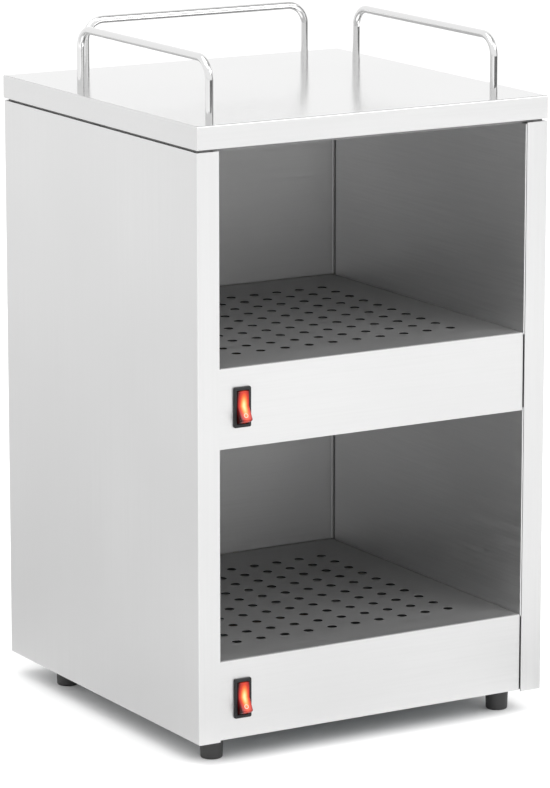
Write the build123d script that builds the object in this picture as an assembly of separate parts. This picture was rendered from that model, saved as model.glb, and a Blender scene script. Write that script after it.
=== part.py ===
from build123d import *
from math import atan, cos, degrees, radians, sin, tan
import os

# Cup warming cabinet with two open bays, in folded stainless sheet.
# Millimetres. X runs to the right, Y to the back, Z up from the counter that the feet stand on.

# Body shell
body_width = 300.0
body_depth = 300.0
body_height = 438.0
skin = 1.0
skin_bend = 1.5
stile_width = 18.0
edge_flange = 12.0
slide_fit = 0.2

# Bay liners
liner_sheet = 0.8
liner_reveal = 0.5
liner_flange = 10.0
liner_tuck = 2.0
rear_cavity = 25.0
back_flange = 12.0
liner_overrun = 3.0

# Shelves, each folded down in front into its apron, and the sheets that close their heater boxes
apron_height = 60.0
apron_recess = 1.4
shelf_sheet = 1.0
shelf_bend = 1.5
shelf_play = 0.3
tray_sheet = 1.0
tray_lip = 10.0
hole_diameter = 7.0
hole_pitch = 20.7
first_hole_row = 41.6
hole_margin = 30.0
bracket_sheet = 1.2
shelf_bracket_height = 30.0
shelf_bracket_length = 180.0

# Lid, standing clear of the body on four brackets
lid_height = 17.3
lid_gap = 1.8
ceiling_sheet = 1.0
ceiling_inset = 3.0
lid_bracket_flange = 22.0
lid_bracket_length = 40.0
lid_bracket_inset = 55.0
lid_bracket_setback = 70.0

# Rod rails on the lid
rail_rod = 6.0
rail_rise = 42.5
rail_bend = 15.0
rail_fit = 0.1
side_rail_inset = 28.0
side_rail_front = 31.0
side_rail_rear = 74.0
rear_rail_inset = 36.0
rear_rail_end = 52.5
rail_nut_flats = 10.0
rail_nut_height = 5.0
rail_thread_end = 2.0

# Feet
foot_height = 18.0
foot_top_diameter = 17.8
foot_base_diameter = 16.6
foot_round = 1.2
foot_side_inset = 24.0
foot_front_inset = 24.0
foot_rear_inset = 50.0
foot_well_diameter = 10.0
foot_well_depth = 9.0

# Screws
screw_diameter = 4.0
screw_head_flats = 7.0
screw_head_height = 2.6
screw_fit = 0.1
screw_grip = 4.0
rear_screw_rows = 4
rear_screw_margin = 22.0
rear_screw_inset = 6.8

# Rocker switches
switch_inset = 37.2
bezel_width = 14.2
bezel_height = 30.0
bezel_side_lip = 1.1
bezel_end_lip = 1.5
bezel_thickness = 2.0
bezel_edge = 0.7
housing_side_wall = 1.05
housing_end_wall = 1.1
housing_depth = 22.0
housing_back = 2.5
cutout_fit = 0.15
catch_rise = 0.9
catch_length = 7.0
catch_width = 6.0
rocker_side_play = 0.2
rocker_end_play = 0.2
rocker_valley = 3.5
rocker_back = 3.0
rocker_wall = 1.0
rocker_proud = 0.7
rocker_tip = 15.0
trunnion_diameter = 2.5
trunnion_length = 0.9
trunnion_fit = 0.05
stem_diameter = 3.6
stem_reach = 6.2
plunger_diameter = 1.9
plunger_reach = 8.0
plunger_length = 4.5
plunger_nose = 0.6
plunger_fit = 0.05
lever_clearance = 0.7
lever_sheet = 0.6
lever_width = 5.0
lever_length = 16.0
lever_tip = 5.0
contact_arm = 6.5
contact_diameter = 2.4
contact_height = 0.5
contact_gap = 0.15
fulcrum_gap = 0.05
terminal_width = 4.8
terminal_sheet = 0.8
terminal_reach = 9.0
terminal_fit = 0.05
lamp_diameter = 3.0
lamp_end_play = 0.7
lamp_seat = 0.3
lamp_start = 3.0

# Heaters, thermostats and wiring
heater_diameter = 8.5
heater_length = 170.0
heater_spacing = 110.0
heater_height = 24.0
heater_pin_diameter = 3.0
heater_pin_length = 10.0
heater_fit = 0.15
heater_bracket_margin = 9.0
heater_bracket_foot = 14.0
heater_bracket_inset = 15.0
thermostat_diameter = 15.6
thermostat_height = 9.0
thermostat_ear_span = 24.0
thermostat_ear_width = 10.0
thermostat_plate = 1.0
thermostat_tab_length = 7.0
thermostat_tab_spacing = 7.8
thermostat_inset = 20.0
thermostat_rear = 70.0
block_length = 40.0
block_depth = 16.0
block_height = 18.0
block_poles = 3
block_well_diameter = 5.0
block_well_depth = 6.0
block_well_setback = 3.2
block_offset = 55.0
loom_diameter = 5.0
loom_bend = 9.0
loom_play = 1.5
loom_seat = 0.3

# Cord gland in the rear panel
gland_inset = 45.0
gland_height = 34.0
gland_bore = 8.0
gland_thread = 15.6
gland_head_flats = 20.0
gland_head = 3.5
gland_nose_diameter = 13.0
gland_nose = 4.5
gland_tail = 13.0
gland_fit = 0.1
gland_nut_height = 5.0

# How many flats stand for a round section, fewest where it repeats or is out of sight
rod_sides = 8
foot_sides = 12
pin_sides = 8
hole_sides = 6
hex_sides = 6

# Planes, heights and places that the pieces share
half_width = body_width / 2
front = -body_depth / 2
back = body_depth / 2
rear_seat = back - skin
body_bottom = foot_height
body_top = body_bottom + body_height
bay_half = half_width - stile_width - liner_reveal
back_face = back - rear_cavity
shelf_half = bay_half - shelf_play
shelf_front = front + apron_recess
shelf_rear = back_face - shelf_play
base_underside = body_bottom + skin
base_top = base_underside + tray_sheet
bay_height = (body_height - skin - 2 * apron_height) / 2
shelf_tops = {
    "lower": base_underside + apron_height,
    "upper": base_underside + 2 * apron_height + bay_height,
}
bay_tops = {
    "lower": shelf_tops["lower"] + bay_height + liner_tuck,
    "upper": body_top - skin - slide_fit,
}
ceiling_top = body_top + ceiling_sheet
lid_bottom = body_top + lid_gap
lid_top = lid_bottom + lid_height
lid_underside = lid_top - skin
switch_x = switch_inset - half_width
gland_x = half_width - gland_inset
gland_z = body_bottom + gland_height
block_x = gland_x - block_offset
block_y = rear_seat - block_depth / 2
foot_places = {
    "front_left": (-half_width + foot_side_inset, front + foot_front_inset),
    "front_right": (half_width - foot_side_inset, front + foot_front_inset),
    "rear_left": (-half_width + foot_side_inset, back - foot_rear_inset),
    "rear_right": (half_width - foot_side_inset, back - foot_rear_inset),
}
lid_bracket_places = [
    (side * (half_width - lid_bracket_inset), end * (back - lid_bracket_setback), side)
    for side in (-1, 1)
    for end in (-1, 1)
]
lid_screw_places = [
    (x - side * (lid_bracket_flange + bracket_sheet) / 2, y)
    for x, y, side in lid_bracket_places
]
rear_screw_step = (body_height - 2 * rear_screw_margin) / (rear_screw_rows - 1)
rear_screw_places = [
    (side * (half_width - rear_screw_inset), body_bottom + rear_screw_margin + row * rear_screw_step)
    for side in (-1, 1)
    for row in range(rear_screw_rows)
]
rail_ends = {
    "left": [
        (side_rail_inset - half_width, front + side_rail_front),
        (side_rail_inset - half_width, back - side_rail_rear),
    ],
    "right": [
        (half_width - side_rail_inset, front + side_rail_front),
        (half_width - side_rail_inset, back - side_rail_rear),
    ],
    "rear": [
        (rear_rail_end - half_width, back - rear_rail_inset),
        (half_width - rear_rail_end, back - rear_rail_inset),
    ],
}
rail_feet = [end for ends in rail_ends.values() for end in ends]


def block(x_limits, y_limits, z_limits):
    """A box between three pairs of limits."""
    limits = (x_limits, y_limits, z_limits)
    middle = [(low + high) / 2 for low, high in limits]
    size = [high - low for low, high in limits]
    return Pos(*middle) * Box(*size)


def peg(diameter, sides):
    """A round section stood for by flats inside it."""
    return RegularPolygon(diameter / 2, sides)


def hole(diameter, sides):
    """A round hole stood for by flats outside it."""
    return RegularPolygon(diameter / 2, sides, major_radius=False)


def upright(section, place, z_limits):
    """A section drawn up between two heights at a place in plan."""
    low, high = z_limits
    return Pos(*place, low) * extrude(section, high - low)


def crosswise(section, place, y_limits):
    """A section drawn from front to back at a place in elevation."""
    low, high = y_limits
    x, z = place
    return Pos(x, high, z) * extrude(Plane.XZ * section, high - low)


def folded(points, sheet, side):
    """The cross-section of a folded sheet, to one side of its outline."""
    outline = Polyline(*points)
    return make_face(offset(outline, amount=sheet, side=side, kind=Kind.INTERSECTION))


def pan(x_limits, y_limits, z_limits, sheet, bend):
    """A sheet folded down on four sides, with rounded bends round its top."""
    blank = block(x_limits, y_limits, z_limits)
    blank = fillet(blank.faces().sort_by(Axis.Z)[-1].edges(), bend)
    inside = [(low + sheet, high - sheet) for low, high in (x_limits, y_limits)]
    return blank - block(*inside, (z_limits[0] - sheet, z_limits[1] - sheet))


def screw(grip):
    """A hexagon-head screw along Z, its head seated on Z = 0 and its shank below."""
    head = upright(hole(screw_head_flats, hex_sides), (0, 0), (0, screw_head_height))
    return head + upright(peg(screw_diameter, hole_sides), (0, 0), (-grip, 0))


def rod_along(points, bend, diameter, sides):
    """A rod along straight runs joined by tangent bends."""
    path = FilletPolyline(*points, radius=bend)
    section = Plane(origin=path @ 0, z_dir=path % 0) * peg(diameter, sides)
    return sweep(section, path=path)


def mirrored(piece):
    """The right-hand twin of a left-hand piece."""
    return mirror(piece, about=Plane.YZ)


# Body shell


def left_side_panel():
    """Outer skin folded round into the front stile and narrower flanges behind, above and below."""
    inner = -half_width + stile_width
    blank = block((-half_width, inner), (front, rear_seat), (body_bottom, body_top))
    blank = fillet(blank.faces().sort_by(Axis.X)[0].edges(), skin_bend)
    hollow = block(
        (-half_width + skin, inner + skin),
        (front + skin, rear_seat - skin),
        (body_bottom + skin, body_top - skin),
    )
    trim = block(
        (-half_width + edge_flange, inner + skin),
        (front + skin, back),
        (body_bottom - skin, body_top + skin),
    )
    return blank - hollow - trim - rear_screw_holes()


def rear_screw_holes():
    """Clearance holes for the screws of the rear panel."""
    section = hole(screw_diameter + 2 * screw_fit, hole_sides)
    return [crosswise(section, place, (rear_seat - 2 * skin, back + skin)) for place in rear_screw_places]


def rear_panel():
    """Flat back cover, lying on the rear flanges of the side panels."""
    side = half_width - skin_bend
    sheet = block((-side, side), (rear_seat, back), (body_bottom, body_top))
    opening = crosswise(
        Circle(gland_thread / 2 + gland_fit),
        (gland_x, gland_z),
        (rear_seat - skin, back + skin),
    )
    return sheet - opening - rear_screw_holes()


def rear_panel_screws():
    """Screws that hold the rear panel to the side panels."""
    grip = 2 * skin + screw_grip
    return [Pos(x, back, z) * Rot(-90, 0, 0) * screw(grip) for x, z in rear_screw_places]


def base_plate():
    """Bottom of the body, resting on the bottom flanges of the side panels."""
    side = half_width - skin_bend - slide_fit
    depth = (shelf_front + shelf_sheet + slide_fit, rear_seat - skin - slide_fit)
    sheet = block((-side, side), depth, (base_underside, base_top))
    section = hole(screw_diameter + 2 * screw_fit, hole_sides)
    span = (base_underside - skin, base_top + skin)
    return sheet - [upright(section, place, span) for place in foot_places.values()]


def ceiling_panel():
    """Roof of the upper bay, resting on the top flanges of the side panels."""
    side = half_width - ceiling_inset
    depth = (front + ceiling_inset, back - ceiling_inset)
    sheet = block((-side, side), depth, (body_top, ceiling_top))
    section = hole(screw_diameter + 2 * screw_fit, hole_sides)
    span = (body_top - skin, ceiling_top + skin)
    return sheet - [upright(section, place, span) for place in lid_screw_places]


# Bay liners


def left_liner(level):
    """Side wall of a bay, its front edge folded out behind the stile."""
    face = front + skin
    rear = back_face + back_flange + liner_overrun
    points = [(-bay_half - liner_flange, face), (-bay_half, face), (-bay_half, rear)]
    section = folded(points, liner_sheet, Side.LEFT)
    return upright(section, (0, 0), (shelf_tops[level] - liner_tuck, bay_tops[level]))


def back_liner(level):
    """Back wall of a bay, its sides folded back against the side liners."""
    rear = back_face + back_flange
    points = [(-bay_half, rear), (-bay_half, back_face), (bay_half, back_face), (bay_half, rear)]
    section = folded(points, liner_sheet, Side.LEFT)
    return upright(section, (0, 0), (shelf_tops[level] - liner_tuck, bay_tops[level]))


# Shelves


def shelf(level):
    """Perforated shelf, folded down all round, with the tall apron and its switch cut-out in front."""
    top = shelf_tops[level]
    bottom = top - apron_height
    depth = (shelf_front, shelf_rear)
    sheet = pan((-shelf_half, shelf_half), depth, (bottom, top), shelf_sheet, shelf_bend)
    relief = block(
        (-half_width, half_width),
        (shelf_front + shelf_sheet, back),
        (bottom - tray_sheet, bottom + tray_sheet),
    )
    place = (switch_x, switch_z(level))
    cutout = crosswise(
        Rectangle(housing_width + 2 * cutout_fit, housing_height + 2 * cutout_fit),
        place,
        (shelf_front - shelf_sheet, shelf_front + 2 * shelf_sheet),
    )
    loom_hole = crosswise(
        hole(loom_diameter + 2 * loom_play, pin_sides),
        place,
        (shelf_rear - 2 * shelf_sheet, shelf_rear + shelf_sheet),
    )
    return sheet - relief - cutout - loom_hole - perforation(top)


def perforation(top):
    """The square field of holes that lets the warm air rise."""
    columns = int(2 * (shelf_half - hole_margin) / hole_pitch) + 1
    rows = int((shelf_rear - shelf_front - first_hole_row - hole_margin) / hole_pitch) + 1
    middle = shelf_front + first_hole_row + (rows - 1) * hole_pitch / 2
    places = GridLocations(hole_pitch, hole_pitch, columns, rows)
    field = Sketch() + [place * hole(hole_diameter, hole_sides) for place in places]
    return upright(field, (0, middle), (top - 2 * shelf_sheet, top + shelf_sheet))


def upper_underpan():
    """Shallow tray that closes the upper heater box and makes the ceiling of the lower bay."""
    bottom = shelf_tops["upper"] - apron_height
    side = shelf_half - shelf_sheet - slide_fit
    depth = (shelf_front + shelf_sheet + slide_fit, shelf_rear - shelf_sheet - slide_fit)
    blank = block((-side, side), depth, (bottom, bottom + tray_lip))
    inside = block(
        (-side + tray_sheet, side - tray_sheet),
        (depth[0] + tray_sheet, depth[1] - tray_sheet),
        (bottom + tray_sheet, bottom + tray_lip + tray_sheet),
    )
    return blank - inside


def upper_shelf_brackets():
    """A channel on each side, spot-welded between the outer skin and the flange of the upper shelf."""
    outer = -half_width + skin
    low = shelf_tops["upper"] - (apron_height + shelf_bracket_height) / 2
    high = low + shelf_bracket_height
    points = [(outer, high), (outer, low), (-shelf_half, low), (-shelf_half, high)]
    middle = (shelf_front + shelf_rear) / 2
    depth = (middle - shelf_bracket_length / 2, middle + shelf_bracket_length / 2)
    left = crosswise(folded(points, bracket_sheet, Side.LEFT), (0, 0), depth)
    return [left, mirrored(left)]


# Lid and rails


def top_lid():
    """Shallow folded lid, drilled for the feet of the rails."""
    sheet = pan((-half_width, half_width), (front, back), (lid_bottom, lid_top), skin, skin_bend)
    section = hole(rail_rod + 2 * rail_fit, rod_sides)
    return sheet - [upright(section, place, (lid_underside - skin, lid_top + skin)) for place in rail_feet]


def lid_brackets():
    """Four channels that carry the lid above the ceiling panel."""
    section = hole(screw_diameter + 2 * screw_fit, hole_sides)
    span = (body_top, ceiling_top + 2 * bracket_sheet)
    drilling = [upright(section, place, span) for place in lid_screw_places]
    brackets = []
    for x, y, side in lid_bracket_places:
        reach = x - side * lid_bracket_flange
        points = [(reach, ceiling_top), (x, ceiling_top), (x, lid_underside), (reach, lid_underside)]
        inside = Side.LEFT if side > 0 else Side.RIGHT
        depth = (y - lid_bracket_length / 2, y + lid_bracket_length / 2)
        brackets.append(crosswise(folded(points, bracket_sheet, inside), (0, 0), depth) - drilling)
    return brackets


def lid_screws():
    """Screws up through the ceiling panel into the lid brackets."""
    grip = ceiling_sheet + bracket_sheet + screw_grip
    return [Pos(*place, body_top) * Rot(180, 0, 0) * screw(grip) for place in lid_screw_places]


def rail(name):
    """Bright rod bent into a low goal-post, its threaded feet going through the lid."""
    start, end = rail_ends[name]
    bar = lid_top + rail_rise
    foot_end = lid_underside - rail_nut_height - rail_thread_end
    points = [(*start, foot_end), (*start, bar), (*end, bar), (*end, foot_end)]
    return rod_along(points, rail_bend, rail_rod, rod_sides)


def rail_nuts():
    """Hexagon nuts that pull the feet of the rails against the lid."""
    ring = hole(rail_nut_flats, hex_sides) - hole(rail_rod + 2 * rail_fit, hole_sides)
    return [upright(ring, place, (lid_underside - rail_nut_height, lid_underside)) for place in rail_feet]


# Feet


def foot(name):
    """Tapered moulded foot with a well for its screw, rising past the bottom flange to the base plate."""
    flare = degrees(atan((foot_top_diameter - foot_base_diameter) / 2 / base_underside))
    column = extrude(peg(foot_top_diameter, foot_sides), base_underside, taper=flare)
    body = Pos(0, 0, base_underside) * Rot(180, 0, 0) * column
    body = chamfer(body.faces().sort_by(Axis.Z)[0].edges(), foot_round)
    well = upright(hole(foot_well_diameter, pin_sides), (0, 0), (-foot_round, foot_well_depth))
    shank = upright(hole(screw_diameter + 2 * screw_fit, hole_sides), (0, 0), (0, base_top))
    return Pos(*foot_places[name], 0) * (body - well - shank)


def foot_screws():
    """Screws up through the feet into the base plate."""
    seat = Pos(0, 0, foot_well_depth) * Rot(180, 0, 0)
    grip = base_top - foot_well_depth + screw_grip
    return [Pos(*place, 0) * seat * screw(grip) for place in foot_places.values()]


# Rocker switches, each made about the middle of its cut-out on the front of the apron

housing_width = bezel_width - 2 * bezel_side_lip
housing_height = bezel_height - 2 * bezel_end_lip
window_width = housing_width - 2 * housing_side_wall
window_height = housing_height - 2 * housing_end_wall
pivot_y = -bezel_thickness - rocker_proud + rocker_valley * cos(radians(rocker_tip))
rocker_radius = window_height / 2 - rocker_end_play
rocker_width = window_width - 2 * rocker_side_play
rocker_end = rocker_radius * cos(radians(2 * rocker_tip))
lever_axis = pivot_y + plunger_reach + lever_clearance + lever_sheet
contact_swing = (contact_arm + contact_diameter / 2) * sin(radians(lever_tip))
contact_face = lever_axis + contact_height + contact_swing + contact_gap
terminal_heights = (-contact_arm, 0, contact_arm)


def switch_z(level):
    """Height of a switch's centre, halfway up its apron."""
    return shelf_tops[level] - apron_height / 2


def seated(level, piece):
    """A switch piece put in its apron."""
    return Pos(switch_x, shelf_front, switch_z(level)) * piece


def tipped(piece):
    """A rocker piece tipped about its pivot to ON, the upper end pressed in."""
    return Pos(0, pivot_y, 0) * Rot(-rocker_tip, 0, 0) * piece


def sideways(section, length):
    """A section drawn an equal way to the left and right."""
    return extrude(Plane.YZ * section, length / 2, both=True)


def switch_housing(level):
    """Moulded housing with its bezel, rocker window, trunnion bearings, catches and terminal slots."""
    bezel = crosswise(Rectangle(bezel_width, bezel_height), (0, 0), (-bezel_thickness, 0))
    bezel = chamfer(bezel.faces().sort_by(Axis.Y)[0].edges(), bezel_edge)
    body = crosswise(Rectangle(housing_width, housing_height), (0, 0), (0, housing_depth))
    cavity = crosswise(
        Rectangle(window_width, window_height),
        (0, 0),
        (-2 * bezel_thickness, housing_depth - housing_back),
    )
    socket = hole(trunnion_diameter + 2 * trunnion_fit, pin_sides)
    bearing = Pos(0, pivot_y, 0) * sideways(socket, housing_width)
    slot = Rectangle(terminal_width + 2 * terminal_fit, terminal_sheet + 2 * terminal_fit)
    slots = [
        crosswise(slot, (0, z), (housing_depth - 2 * housing_back, housing_depth + housing_back))
        for z in terminal_heights
    ]
    catches = [housing_catch(side) for side in (-1, 1)]
    return seated(level, bezel + body + catches - cavity - bearing - slots)


def housing_catch(side):
    """Wedge that snaps behind the apron."""
    root = side * housing_height / 2
    start = shelf_sheet + cutout_fit
    tip = root + side * catch_rise
    wedge = Polygon((start, root), (start, tip), (start + catch_length, root), align=None)
    return sideways(wedge, catch_width)


def rocker(level):
    """Hollow rocker with a shallow V front, ends rounded about its pivot, trunnions and stem."""
    slope = tan(radians(rocker_tip))
    outer = rocker_field(rocker_valley, slope, rocker_back, rocker_radius) & Circle(rocker_radius)
    inner = rocker_field(rocker_valley - rocker_wall, slope, 2 * rocker_back, rocker_end - rocker_wall)
    hollow = sideways(inner, rocker_width - 2 * rocker_wall)
    shell = sideways(outer, rocker_width) - hollow
    trunnion_span = rocker_width + 2 * (rocker_side_play + trunnion_length)
    trunnions = sideways(peg(trunnion_diameter, pin_sides), trunnion_span) - hollow
    stem = crosswise(peg(stem_diameter, pin_sides), (0, 0), (-rocker_valley + rocker_wall / 2, stem_reach))
    bore_start = plunger_reach - plunger_length - plunger_fit
    guide = hole(plunger_diameter + 2 * plunger_fit, pin_sides)
    bore = crosswise(guide, (0, 0), (bore_start, plunger_reach))
    return seated(level, tipped(shell + trunnions + stem - bore))


def rocker_field(valley, slope, rear, half):
    """Side view of a rocker about its pivot: a shallow V in front, straight ends and back."""
    return Polygon(
        (-valley, 0),
        (-valley - slope * half, half),
        (rear, half),
        (rear, -half),
        (-valley - slope * half, -half),
        align=None,
    )


def plunger(level):
    """Nosed pin in the rocker's stem that rides on the contact lever."""
    section = peg(plunger_diameter, pin_sides)
    pin = crosswise(section, (0, 0), (plunger_reach - plunger_length, plunger_reach))
    pin = chamfer(pin.faces().sort_by(Axis.Y)[-1].edges(), plunger_nose)
    return seated(level, tipped(pin))


def lamp(level):
    """Neon lamp lying behind the upper half of the rocker's front."""
    tip = radians(rocker_tip)
    behind = rocker_wall + lamp_seat + lamp_diameter / 2
    room = rocker_end - rocker_wall - lamp_end_play - (behind + lamp_diameter / 2) * sin(tip)
    tube = upright(peg(lamp_diameter, pin_sides), (0, behind), (lamp_start, room / cos(tip)))
    return seated(level, tipped(Pos(0, -rocker_valley, 0) * Rot(rocker_tip, 0, 0) * tube))


def contact_lever(level):
    """See-saw contact that balances on the middle terminal, with a contact rivet at each end."""
    plate = crosswise(Rectangle(lever_width, lever_length), (0, 0), (-lever_sheet, 0))
    rivet = peg(contact_diameter, pin_sides)
    rivets = [crosswise(rivet, (0, z), (0, contact_height)) for z in (-contact_arm, contact_arm)]
    return seated(level, Pos(0, lever_axis, 0) * Rot(lever_tip, 0, 0) * (plate + rivets))


def switch_terminals(level):
    """Three flat terminals: the middle one ends in the fulcrum, the outer ones in contact pads."""
    tail = housing_depth + terminal_reach
    half = terminal_sheet / 2
    edge = lever_axis + fulcrum_gap
    knife = Polygon(
        (edge, 0),
        (edge + half, half),
        (tail, half),
        (tail, -half),
        (edge + half, -half),
        align=None,
    )
    terminals = [sideways(knife, terminal_width)]
    for z in (-contact_arm, contact_arm):
        blade = crosswise(Rectangle(terminal_width, terminal_sheet), (0, z), (contact_face, tail))
        pad_limits = (contact_face, contact_face + contact_height)
        pad = crosswise(peg(contact_diameter, pin_sides), (0, z), pad_limits)
        terminals.append(blade + pad)
    return [seated(level, terminal) for terminal in terminals]


# Heaters, thermostats and wiring

heater_middle = (shelf_front + shelf_rear) / 2
heater_rows = (heater_middle - heater_spacing / 2, heater_middle + heater_spacing / 2)


def box_floor(level):
    """Upper side of the sheet that closes a heater box below."""
    return shelf_tops[level] - apron_height + tray_sheet


def heater(level):
    """Two straight tubular elements across the box below the shelf, with a connecting pin at each end."""
    z = box_floor(level) + heater_height
    sheath = sideways(peg(heater_diameter, pin_sides), heater_length)
    pins = sideways(peg(heater_pin_diameter, hole_sides), heater_length + 2 * heater_pin_length)
    return [Pos(0, y, z) * (sheath + pins) for y in heater_rows]


def heater_brackets(level):
    """Two folded plates that stand on the floor of the heater box and carry the elements."""
    floor = box_floor(level)
    top = floor + heater_height + heater_diameter / 2 + heater_bracket_margin
    x = heater_length / 2 - heater_bracket_inset
    points = [(-x + heater_bracket_foot, floor), (-x, floor), (-x, top)]
    reach = heater_diameter / 2 + heater_bracket_margin
    plate = crosswise(
        folded(points, bracket_sheet, Side.RIGHT),
        (0, 0),
        (heater_rows[0] - reach, heater_rows[1] + reach),
    )
    drill = sideways(hole(heater_diameter + 2 * heater_fit, pin_sides), heater_length)
    left = plate - [Pos(0, y, floor + heater_height) * drill for y in heater_rows]
    return [left, mirrored(left)]


def thermostat(level):
    """Bimetal disc thermostat, its eared plate flat against the underside of the shelf."""
    ears = upright(Rectangle(thermostat_ear_width, thermostat_ear_span), (0, 0), (-thermostat_plate, 0))
    can = upright(peg(thermostat_diameter, pin_sides), (0, 0), (-thermostat_height, 0))
    low = -thermostat_height - thermostat_tab_length
    tab = Rectangle(terminal_sheet, terminal_width)
    tabs = [
        upright(tab, (0, side * thermostat_tab_spacing / 2), (low, -thermostat_height))
        for side in (-1, 1)
    ]
    place = (shelf_half - thermostat_inset, shelf_rear - thermostat_rear, shelf_tops[level] - shelf_sheet)
    return Pos(*place) * (ears + can + tabs)


def terminal_block():
    """Three-pole connector block on the inside of the rear panel, level with the lower switch."""
    low = switch_z("lower") - block_height / 2
    top = low + block_height
    body = upright(Rectangle(block_length, block_depth), (block_x, block_y), (low, top))
    well = hole(block_well_diameter, hole_sides)
    step = block_length / block_poles
    wells = [
        upright(
            well,
            (block_x + (pole - (block_poles - 1) / 2) * step, block_y - block_well_setback),
            (top - block_well_depth, top + skin),
        )
        for pole in range(block_poles)
    ]
    return body - wells


def wiring_loom(level):
    """Sleeved loom from the connector block along the rear cavity and forward to the switch."""
    z = switch_z(level)
    end = (switch_x, shelf_front + housing_depth + terminal_reach + loom_seat, z)
    corner = (switch_x, block_y, z)
    if level == "lower":
        starts = [(block_x - block_length / 2 - loom_seat, block_y, z)]
    else:
        block_top = switch_z("lower") + block_height / 2
        starts = [(block_x, block_y, block_top + loom_seat), (block_x, block_y, z)]
    return rod_along(starts + [corner, end], loom_bend, loom_diameter, hole_sides)


# Cord gland


def cord_gland():
    """Moulded gland through the rear panel, with a clear round bore for a mains lead."""
    nose_end = gland_head + gland_nose
    tail = upright(peg(gland_thread, pin_sides), (0, 0), (-gland_tail, 0))
    head = upright(hole(gland_head_flats, hex_sides), (0, 0), (0, gland_head))
    lean = degrees(atan((gland_head_flats - gland_nose_diameter) / 2 / gland_nose))
    nose = Pos(0, 0, gland_head) * extrude(peg(gland_head_flats, foot_sides), gland_nose, taper=lean)
    bore = upright(Circle(gland_bore / 2), (0, 0), (-gland_tail - skin, nose_end + skin))
    return Pos(gland_x, back, gland_z) * Rot(-90, 0, 0) * (tail + head + nose - bore)


def gland_locknut():
    """Hexagon locknut that clamps the gland from inside the rear panel."""
    ring = hole(gland_head_flats, hex_sides) - hole(gland_thread + 2 * gland_fit, pin_sides)
    return crosswise(ring, (gland_x, gland_z), (rear_seat - gland_nut_height, rear_seat))


def cabinet_pieces():
    """Every piece of the cabinet under its own name."""
    pieces = {
        "left_side_panel": left_side_panel(),
        "right_side_panel": mirrored(left_side_panel()),
        "rear_panel": rear_panel(),
        "rear_panel_screws": rear_panel_screws(),
        "base_plate": base_plate(),
        "ceiling_panel": ceiling_panel(),
        "upper_underpan": upper_underpan(),
        "upper_shelf_brackets": upper_shelf_brackets(),
        "top_lid": top_lid(),
        "lid_brackets": lid_brackets(),
        "lid_screws": lid_screws(),
        "rail_nuts": rail_nuts(),
        "foot_screws": foot_screws(),
        "terminal_block": terminal_block(),
        "cord_gland": cord_gland(),
        "gland_locknut": gland_locknut(),
    }
    for name in rail_ends:
        pieces[name + "_rail"] = rail(name)
    for name in foot_places:
        pieces[name + "_foot"] = foot(name)
    for level in shelf_tops:
        pieces[level + "_left_liner"] = left_liner(level)
        pieces[level + "_right_liner"] = mirrored(left_liner(level))
        pieces[level + "_back_liner"] = back_liner(level)
        pieces[level + "_shelf"] = shelf(level)
        pieces[level + "_switch_housing"] = switch_housing(level)
        pieces[level + "_rocker"] = rocker(level)
        pieces[level + "_plunger"] = plunger(level)
        pieces[level + "_lamp"] = lamp(level)
        pieces[level + "_contact_lever"] = contact_lever(level)
        pieces[level + "_switch_terminals"] = switch_terminals(level)
        pieces[level + "_heater"] = heater(level)
        pieces[level + "_heater_brackets"] = heater_brackets(level)
        pieces[level + "_thermostat"] = thermostat(level)
        pieces[level + "_wiring_loom"] = wiring_loom(level)
    return pieces


os.makedirs("parts", exist_ok=True)
for node, piece in cabinet_pieces().items():
    solids = piece if isinstance(piece, list) else [piece]
    shape = Compound(children=solids) if len(solids) > 1 else solids[0]
    export_step(shape, os.path.join("parts", node + ".step"))
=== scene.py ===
from math import copysign, cos, pi, radians, sin

import bmesh
import bpy
from mathutils import Matrix, Vector


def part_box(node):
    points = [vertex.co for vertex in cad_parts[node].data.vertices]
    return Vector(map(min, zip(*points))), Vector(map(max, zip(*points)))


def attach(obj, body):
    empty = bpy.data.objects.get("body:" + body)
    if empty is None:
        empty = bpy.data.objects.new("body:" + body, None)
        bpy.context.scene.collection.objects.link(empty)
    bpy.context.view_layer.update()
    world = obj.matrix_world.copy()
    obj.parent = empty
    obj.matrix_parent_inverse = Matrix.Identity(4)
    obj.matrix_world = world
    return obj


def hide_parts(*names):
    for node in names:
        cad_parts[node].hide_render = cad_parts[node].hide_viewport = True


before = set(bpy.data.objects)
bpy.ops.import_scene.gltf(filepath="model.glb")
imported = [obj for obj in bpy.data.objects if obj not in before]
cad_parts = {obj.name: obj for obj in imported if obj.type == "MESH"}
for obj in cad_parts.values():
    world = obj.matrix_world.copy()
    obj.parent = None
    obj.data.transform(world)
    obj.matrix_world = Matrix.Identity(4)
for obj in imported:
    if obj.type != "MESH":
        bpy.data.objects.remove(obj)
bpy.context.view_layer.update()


# Base plate: the flat galvanised sheet that closes the body below and carries the feet.
# It lies on the bottom flanges of the side panels. The same sheet makes the small folded
# brackets inside, which hold the upper shelf, the heaters and the lid.
def linear(colour):
    """Turns an sRGB hex colour into the linear values that a shader takes."""
    channels = [int(colour[i:i + 2], 16) / 255 for i in (1, 3, 5)]
    return [c / 12.92 if c <= 0.04045 else ((c + 0.055) / 1.055) ** 2.4 for c in channels] + [1.0]


def add_node(tree, kind, inputs, **settings):
    """Adds a node with its settings; each input is a value or the socket that feeds it."""
    node = tree.nodes.new(kind)
    for name, value in settings.items():
        setattr(node, name, value)
    for name, value in inputs.items():
        if isinstance(value, bpy.types.NodeSocket):
            tree.links.new(value, node.inputs[name])
        else:
            node.inputs[name].default_value = value
    return node


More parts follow.
